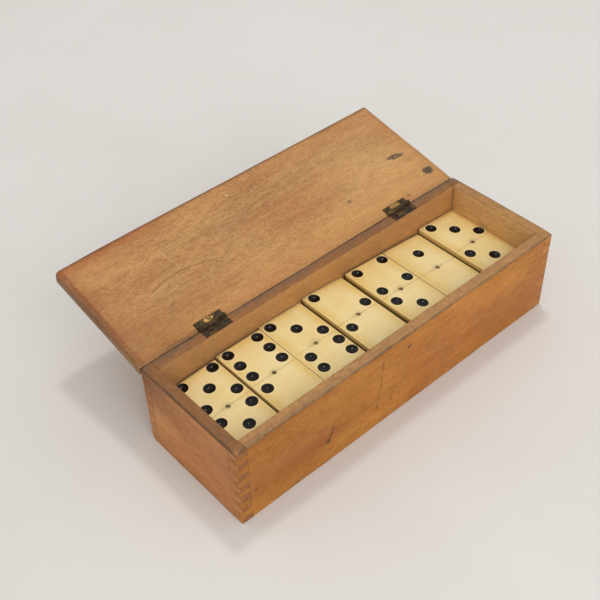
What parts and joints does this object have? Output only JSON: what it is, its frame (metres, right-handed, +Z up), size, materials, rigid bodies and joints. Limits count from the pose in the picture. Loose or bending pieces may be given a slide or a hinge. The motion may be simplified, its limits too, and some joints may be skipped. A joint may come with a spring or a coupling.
{
  "type": "domino storage box",
  "caption": "Long narrow wooden box with finger-jointed corners and a lid on butt hinges standing open, full of bone-faced dominoes stacked in columns.",
  "frame": {"origin": "centre of the box's underside, on the surface that it stands on", "axes": "+X along the box to the right, +Y from the front wall to the hinged back wall, +Z up"},
  "size_m": [0.1718, 0.1124, 0.0516],
  "materials": {
    "wall_wood": "waxed, warm orange brown, fine grain along the board",
    "end_wood": "waxed, pinkish brown",
    "lid_wood": "waxed, worn, fine grain along the board",
    "panel_wood": "plain, dusty",
    "hinge_brass": "dark patina with bare rubbed patches",
    "hinge_screw": "dark patina",
    "tile_bone": "polished bone, yellowed, with black lacquered dimples",
    "tile_back_wood": "dense black wood, polished",
    "tile_pin_brass": "dull, dirty"
  },
  "bodies": {
    "case": {"front_wall": "wall_wood", "back_wall": "wall_wood", "left_end": "end_wood", "right_end": "end_wood", "bottom_panel": "panel_wood", "left_hinge_box_leaf": "hinge_brass", "left_hinge_pin": "hinge_brass", "left_hinge_box_screws": "hinge_screw", "right_hinge_box_leaf": "hinge_brass", "right_hinge_pin": "hinge_brass", "right_hinge_box_screws": "hinge_screw"},
    "lid": {"lid_board": "lid_wood", "left_hinge_lid_leaf": "hinge_brass", "left_hinge_lid_screws": "hinge_screw", "right_hinge_lid_leaf": "hinge_brass", "right_hinge_lid_screws": "hinge_screw"},
    "domino_0_0": {"domino_0_0": "tile_bone"},
    "domino_1_1": {"domino_1_1": "tile_bone"},
    "domino_2_0": {"domino_2_0": "tile_bone"},
    "domino_5_5": {"domino_5_5_face": "tile_bone", "domino_5_5_back": "tile_back_wood", "domino_5_5_pin": "tile_pin_brass"},
    "domino_2_1": {"domino_2_1": "tile_bone"},
    "domino_3_0": {"domino_3_0": "tile_bone"},
    "domino_3_1": {"domino_3_1": "tile_bone"},
    "domino_6_2": {"domino_6_2_face": "tile_bone", "domino_6_2_back": "tile_back_wood", "domino_6_2_pin": "tile_pin_brass"},
    "domino_3_2": {"domino_3_2": "tile_bone"},
    "domino_4_0": {"domino_4_0": "tile_bone"},
    "domino_4_1": {"domino_4_1": "tile_bone"},
    "domino_3_6": {"domino_3_6_face": "tile_bone", "domino_3_6_back": "tile_back_wood", "domino_3_6_pin": "tile_pin_brass"},
    "domino_4_2": {"domino_4_2": "tile_bone"},
    "domino_4_4": {"domino_4_4": "tile_bone"},
    "domino_5_0": {"domino_5_0": "tile_bone"},
    "domino_2_2": {"domino_2_2_face": "tile_bone", "domino_2_2_back": "tile_back_wood", "domino_2_2_pin": "tile_pin_brass"},
    "domino_5_1": {"domino_5_1": "tile_bone"},
    "domino_5_2": {"domino_5_2": "tile_bone"},
    "domino_5_3": {"domino_5_3": "tile_bone"},
    "domino_4_3": {"domino_4_3_face": "tile_bone", "domino_4_3_back": "tile_back_wood", "domino_4_3_pin": "tile_pin_brass"},
    "domino_5_4": {"domino_5_4": "tile_bone"},
    "domino_6_0": {"domino_6_0": "tile_bone"},
    "domino_6_1": {"domino_6_1": "tile_bone"},
    "domino_1_0": {"domino_1_0_face": "tile_bone", "domino_1_0_back": "tile_back_wood", "domino_1_0_pin": "tile_pin_brass"},
    "domino_6_4": {"domino_6_4": "tile_bone"},
    "domino_6_5": {"domino_6_5": "tile_bone"},
    "domino_6_6": {"domino_6_6": "tile_bone"},
    "domino_3_3": {"domino_3_3_face": "tile_bone", "domino_3_3_back": "tile_back_wood", "domino_3_3_pin": "tile_pin_brass"}
  },
  "joints": [
    {"name": "lid_hinge", "type": "hinge", "parent": "case", "child": "lid", "pos_m": [0, 0.0285, 0.0401], "axis": [-1, 0, 0], "range_deg": [-168, 0]},
    {"name": "domino_0_0_lift", "type": "slide", "parent": "case", "child": "domino_0_0", "axis": [0, 0, 1], "range_m": [0, 0.038]},
    {"name": "domino_1_1_lift", "type": "slide", "parent": "domino_0_0", "child": "domino_1_1", "axis": [0, 0, 1], "range_m": [0, 0.0322]},
    {"name": "domino_2_0_lift", "type": "slide", "parent": "domino_1_1", "child": "domino_2_0", "axis": [0, 0, 1], "range_m": [0, 0.0264]},
    {"name": "domino_5_5_lift", "type": "slide", "parent": "domino_2_0", "child": "domino_5_5", "axis": [0, 0, 1], "range_m": [0, 0.0205]},
    {"name": "domino_2_1_lift", "type": "slide", "parent": "case", "child": "domino_2_1", "axis": [0, 0, 1], "range_m": [0, 0.038]},
    {"name": "domino_3_0_lift", "type": "slide", "parent": "domino_2_1", "child": "domino_3_0", "axis": [0, 0, 1], "range_m": [0, 0.0317]},
    {"name": "domino_3_1_lift", "type": "slide", "parent": "domino_3_0", "child": "domino_3_1", "axis": [0, 0, 1], "range_m": [0, 0.0254]},
    {"name": "domino_6_2_lift", "type": "slide", "parent": "domino_3_1", "child": "domino_6_2", "axis": [0, 0, 1], "range_m": [0, 0.019]},
    {"name": "domino_3_2_lift", "type": "slide", "parent": "case", "child": "domino_3_2", "axis": [0, 0, 1], "range_m": [0, 0.038]},
    {"name": "domino_4_0_lift", "type": "slide", "parent": "domino_3_2", "child": "domino_4_0", "axis": [0, 0, 1], "range_m": [0, 0.0318]},
    {"name": "domino_4_1_lift", "type": "slide", "parent": "domino_4_0", "child": "domino_4_1", "axis": [0, 0, 1], "range_m": [0, 0.0255]},
    {"name": "domino_3_6_lift", "type": "slide", "parent": "domino_4_1", "child": "domino_3_6", "axis": [0, 0, 1], "range_m": [0, 0.0192]},
    {"name": "domino_4_2_lift", "type": "slide", "parent": "case", "child": "domino_4_2", "axis": [0, 0, 1], "range_m": [0, 0.038]},
    {"name": "domino_4_4_lift", "type": "slide", "parent": "domino_4_2", "child": "domino_4_4", "axis": [0, 0, 1], "range_m": [0, 0.0319]},
    {"name": "domino_5_0_lift", "type": "slide", "parent": "domino_4_4", "child": "domino_5_0", "axis": [0, 0, 1], "range_m": [0, 0.0257]},
    {"name": "domino_2_2_lift", "type": "slide", "parent": "domino_5_0", "child": "domino_2_2", "axis": [0, 0, 1], "range_m": [0, 0.0195]},
    {"name": "domino_5_1_lift", "type": "slide", "parent": "case", "child": "domino_5_1", "axis": [0, 0, 1], "range_m": [0, 0.038]},
    {"name": "domino_5_2_lift", "type": "slide", "parent": "domino_5_1", "child": "domino_5_2", "axis": [0, 0, 1], "range_m": [0, 0.0319]},
    {"name": "domino_5_3_lift", "type": "slide", "parent": "domino_5_2", "child": "domino_5_3", "axis": [0, 0, 1], "range_m": [0, 0.0259]},
    {"name": "domino_4_3_lift", "type": "slide", "parent": "domino_5_3", "child": "domino_4_3", "axis": [0, 0, 1], "range_m": [0, 0.0198]},
    {"name": "domino_5_4_lift", "type": "slide", "parent": "case", "child": "domino_5_4", "axis": [0, 0, 1], "range_m": [0, 0.038]},
    {"name": "domino_6_0_lift", "type": "slide", "parent": "domino_5_4", "child": "domino_6_0", "axis": [0, 0, 1], "range_m": [0, 0.0325]},
    {"name": "domino_6_1_lift", "type": "slide", "parent": "domino_6_0", "child": "domino_6_1", "axis": [0, 0, 1], "range_m": [0, 0.0269]},
    {"name": "domino_1_0_lift", "type": "slide", "parent": "domino_6_1", "child": "domino_1_0", "axis": [0, 0, 1], "range_m": [0, 0.0214]},
    {"name": "domino_6_4_lift", "type": "slide", "parent": "case", "child": "domino_6_4", "axis": [0, 0, 1], "range_m": [0, 0.038]},
    {"name": "domino_6_5_lift", "type": "slide", "parent": "domino_6_4", "child": "domino_6_5", "axis": [0, 0, 1], "range_m": [0, 0.0322]},
    {"name": "domino_6_6_lift", "type": "slide", "parent": "domino_6_5", "child": "domino_6_6", "axis": [0, 0, 1], "range_m": [0, 0.0265]},
    {"name": "domino_3_3_lift", "type": "slide", "parent": "domino_6_6", "child": "domino_3_3", "axis": [0, 0, 1], "range_m": [0, 0.0208]}
  ]
}
